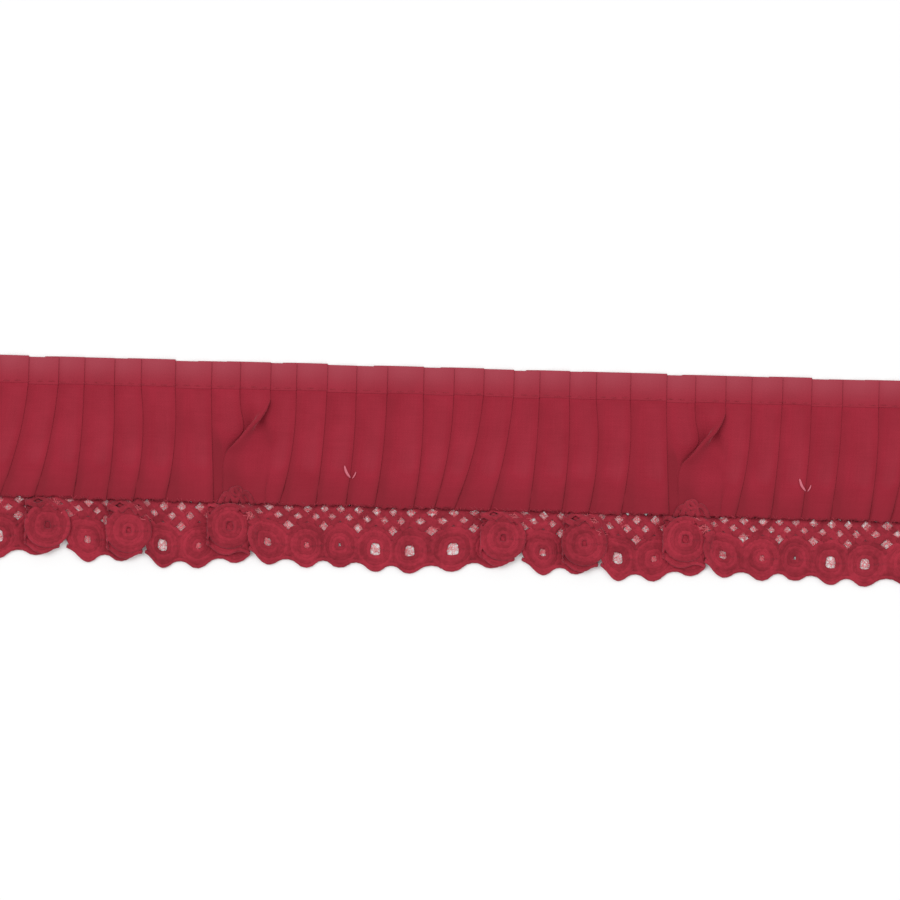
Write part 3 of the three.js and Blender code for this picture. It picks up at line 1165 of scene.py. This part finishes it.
def add_knot(cords, x, y, seed):
    """A flat lump where two bars cross, wide enough to round off the holes beside it."""
    reach = knot_reach * (0.9 + 0.34 * seed)
    t = np.linspace(-1, 1, 7)
    swell = np.sqrt(np.maximum(1 - t * t, 0.04))
    height, thickness = knot_half["height"] * reach * swell, knot_half["thickness"] * swell
    cords.add(path_of(x + reach * t, y), height, thickness, lay=laid_on_course, seed=seed)


# Bars and a small ring that lie on the hem above the highest raised motif. Columns: x of the start, crown
# and end, y of the crown

hem_loops = [
    (53.8, 55.6, 57.6, -6.6),
    (55.4, 57.0, 59.6, -5.6),
    (57.4, 59.6, 61.8, -6.3),
]
hem_loop_foot = -9.3
hem_loop_cord = {"half_width": 0.6, "half_height": 0.14, "lift": 0.1}
hem_ring = {"x": 57.8, "y": -6.1, "half_width": 1.05, "half_height": 0.95}
hem_ring_cord = {"half_width": 0.42, "half_height": 0.16, "lift": 0.2}


def add_cord_on_ribbon(cords, x, y, cord, **settings):
    path = path_of(x, y, ribbon_top.heights(x, y) + cord["lift"])
    cords.add(path, cord["half_width"], cord["half_height"], **settings)


def add_loops_over_hem(cords):
    for repeat in range(repeats):
        origin = repeat_start(repeat)
        for start, crown, end, top in hem_loops:
            t = np.linspace(0, 1, 16)
            x = origin + curve_through([0, 0.5, 1], [start, crown, end], t)
            y = hem_loop_foot + (top - hem_loop_foot) * np.sin(math.pi * t) ** 0.8
            add_cord_on_ribbon(cords, x, y, hem_loop_cord, seed=0.1)
        turn = np.linspace(0, 2 * math.pi, 18, endpoint=False)
        x = origin + hem_ring["x"] + hem_ring["half_width"] * np.cos(turn)
        y = hem_ring["y"] + hem_ring["half_height"] * np.sin(turn)
        add_cord_on_ribbon(cords, x, y, hem_ring_cord, closed=True, seed=0.3)


# Fine hairs of yarn across the holes

hair_colour = (0.85, 0.17, 0.21)
fibre_radius = 0.036
fibre_overrun = 0.6
fibres_in_hole = 20
net_hole_reach = 1.3
seam_hole = {"y": 4.9, "reach": 1.2}


def hair_material():
    n = Nodes("yarn_hairs")
    uneven = n.noise(900, 2, n.add("ShaderNodeTexCoord").outputs["Object"])
    shade = n.ramp(uneven, [(0.3, (0.75, 0.7, 0.7)), (0.7, (1.0, 1.0, 1.0))])
    colour = n.blend("MULTIPLY", 1.0, shade, (*hair_colour, 1))
    surface = {"Roughness": 0.8, "Specular IOR Level": 0.2}
    return n.finish(colour, n.bump(uneven, 0.00003, 0.3), surface)


def add_fibres(cords, random, x, y, reach, count):
    """Fine hairs of the yarn that cross a hole."""
    for _ in range(count):
        angle = random.uniform(0, math.pi)
        aside = random.uniform(-0.7, 0.7) * reach
        bow = random.uniform(-0.3, 0.3)
        t = np.linspace(-1, 1, 4)
        run = t * (reach + fibre_overrun)
        bend = aside + bow * (1 - t * t)
        px = x + run * math.cos(angle) - bend * math.sin(angle)
        py = y + run * math.sin(angle) + bend * math.cos(angle)
        path = path_of(px, py, random.uniform(-0.1, 0.16))
        cords.add(path, fibre_radius, fibre_radius, lay=laid_on_course, sides=4, seed=0.6)


def build_fibres():
    random = np.random.default_rng(5)
    cords = Cords()
    for knot, row in enumerate(motif_rows):
        centre = design_knots[knot]
        if row["layer"] == "hidden":
            continue
        if row["layer"] == "floor" and row["hole"] > 0.4:
            count = round(12 + 16 * (1 - row["hole"]))
            add_fibres(cords, random, centre, 0, 1.2 * row["hole"], count)
        for x in (centre, centre + half_pitch):
            for place, level in ((x, net_rows["upper"]), (x + quarter_pitch, net_rows["lower"])):
                add_fibres(cords, random, place, level, net_hole_reach, fibres_in_hole)
        add_fibres(
            cords, random, centre + half_pitch, seam_hole["y"], seam_hole["reach"], fibres_in_hole + 2,
        )
    return finish_cords("lace_fibres", cords, hair_material())


def add_net(cords):
    """Two families of slanting bars, and two cords along the foot that the ribbon covers."""
    drop = net_rows["upper"] - net_rows["lower"]
    levels = [net_foot, net_start, net_rows["upper"], net_rows["lower"], net_end]
    offsets = quarter_pitch * np.array([(net_start - net_foot) / drop, 0, 1, 2, 3])
    t = np.linspace(0, 1, 22)
    knots = np.linspace(0, 1, len(levels))
    for k in range(2 * len(motif_rows) + 2):
        node = design_knots[0] - motif_pitch + k * half_pitch
        for turn in (-1, 1):
            x = node + turn * np.interp(t, knots, offsets)
            path = path_of(x, np.interp(t, knots, levels), 0.08 * turn * np.cos(t * math.pi * 3))
            lumps = crochet_lumps(path, k + turn)
            width = mix(net_bar["top"], net_bar["bottom"], t ** 1.5) * (1 + 0.1 * lumps)
            height = net_bar["half_height"] * (1 + 0.12 * lumps)
            seed = 0.4 + 0.15 * turn + 0.2 * math.sin(k * 1.7)
            cords.add(path, width, height, lay=laid_on_course, seed=seed)
        for row, level in enumerate((net_rows["upper"], net_rows["lower"])):
            add_knot(cords, node + (1 - row) * quarter_pitch, level, 0.5 + 0.5 * math.sin(k * 2.1 + row))
    x = np.arange(design_knots[0] - motif_pitch, design_knots[-1] + motif_pitch, 0.6)
    for level in (foot_cord["y"], net_foot):
        width, height = foot_cord["half_width"], foot_cord["half_height"]
        cords.add(path_of(x, level), width, height, lay=laid_on_course, seed=0.2)


def cut_to_length(piece):
    """Cuts a strip off straight at the trim's two ends and closes what was cut."""
    cut = bmesh.new()
    cut.from_mesh(piece.data)
    for side in (-1, 1):
        bmesh.ops.bisect_plane(
            cut, geom=[*cut.verts, *cut.edges, *cut.faces], clear_outer=True,
            plane_co=(side * half_length * METRES, 0, 0), plane_no=(side, 0, 0),
        )
        bmesh.ops.holes_fill(cut, edges=[edge for edge in cut.edges if edge.is_boundary], sides=0)
    cut.to_mesh(piece.data)
    cut.free()


def finish_cords(name, cords, material):
    points, quads, yarn = cords.joined()
    return mesh_object(name, points, quads, material, [("yarn", yarn)])


def build_lace():
    motif_cords = Cords()
    net_cords = Cords()
    for knot, row in enumerate(motif_rows):
        add_motif(motif_cords, knot, row)
    add_borders(motif_cords)
    add_net(net_cords)
    add_loops_over_hem(net_cords)
    pieces = [
        finish_cords("lace_motifs", motif_cords, yarn_look),
        finish_cords("lace_net", net_cords, yarn_look),
        build_fibres(),
    ]
    for piece in pieces:
        cut_to_length(piece)
    return pieces


lace_motifs, lace_net, lace_fibres = build_lace()
for piece in (lace_motifs, lace_net, lace_fibres):
    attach(piece, "root")
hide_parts("lace_edging")


# Sewing: a row of stitches that holds the heading down, and an overcast row along the hem

thread_radius = 0.085
heading_stitch = {"y": 19.0, "length": 1.7, "gap": 1.0}
hem_stitch = {"pitch": 1.1, "reach": 0.6, "slant": 0.8}


def build_sewing():
    random = np.random.default_rng(11)
    thread = Cords()
    step = heading_stitch["length"] + heading_stitch["gap"]
    share = np.linspace(0, 1, 9)
    for start in np.arange(-half_length + 1, half_length - step, step):
        x = start + share * heading_stitch["length"]
        y = np.full(len(x), heading_stitch["y"] + 0.08 * math.sin(start))
        rise = thread_radius * (1.5 * np.sin(math.pi * share) ** 0.5 - 0.9)
        z = np.maximum(ribbon_top.heights(x, y) + rise, 1.1 * thread_radius)
        thread.add(path_of(x, y, z), thread_radius, thread_radius, sides=6, seed=0.9)
    share = np.linspace(0, 1, 6)
    for start in np.arange(-half_length + 1, half_length - 1.5, hem_stitch["pitch"]):
        reach = hem_stitch["reach"] * random.uniform(0.6, 1.3)
        aside = random.uniform(-0.25, 0.25)
        x = start + aside + share * hem_stitch["slant"] * random.uniform(-1.2, 1.8)
        y = ribbon_hem - hem_overlap + reach * (1 - share) - 0.12 * share
        z = ribbon_top.heights(x, y) + 0.7 * thread_radius
        z[0] -= thread_radius
        z[-1] = floor_height(ribbon_hem) + 0.1
        seed = random.uniform(0.1, 0.5)
        thread.add(path_of(x, y, z), 1.3 * thread_radius, thread_radius, sides=6, seed=seed)
    return finish_cords("sewing", thread, yarn_look)


# A stray thread end sticks out of one crease of each repeat as a pale V

thread_end_arms = [
    {"path": [(83.4, 0.8), (83.9, -0.7), (84.9, -2.1)], "radius": 0.32},
    {"path": [(86.2, -0.6), (85.9, -1.4), (85.4, -2.2)], "radius": 0.17},
]
thread_end_colour = (0.62, 0.15, 0.20)
thread_end_turns = 14
thread_end_lift = 0.16


def thread_end_material():
    n = Nodes("pale_thread")
    along, around, _ = n.attribute("yarn")
    wraps = n.strands(along, around, 0.6, thread_end_turns)
    shade = n.ramp(wraps, [(0.0, (0.8, 0.72, 0.74)), (0.7, (1.0, 1.0, 1.0))])
    colour = n.blend("MULTIPLY", 1.0, shade, (*thread_end_colour, 1))
    return n.finish(colour, n.bump(wraps, 0.00005, 0.5), {"Roughness": 0.7})


def build_thread_ends():
    cords = Cords()
    for repeat in range(repeats):
        origin = repeat_start(repeat)
        for arm in thread_end_arms:
            corners = np.array(arm["path"])
            t = np.linspace(0, 1, 9)
            x = origin + curve_through([0, 0.5, 1], corners[:, 0], t)
            y = curve_through([0, 0.5, 1], corners[:, 1], t)
            z = ribbon_top.heights(x, y) + thread_end_lift
            radius = arm["radius"] * np.sqrt(np.sin(math.pi * mix(0.06, 0.94, t)))
            cords.add(path_of(x, y, z), radius, 0.7 * radius, seed=0.5)
    return finish_cords("thread_ends", cords, thread_end_material())


sewing = build_sewing()
thread_ends = build_thread_ends()
for piece in (sewing, thread_ends):
    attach(piece, "root")
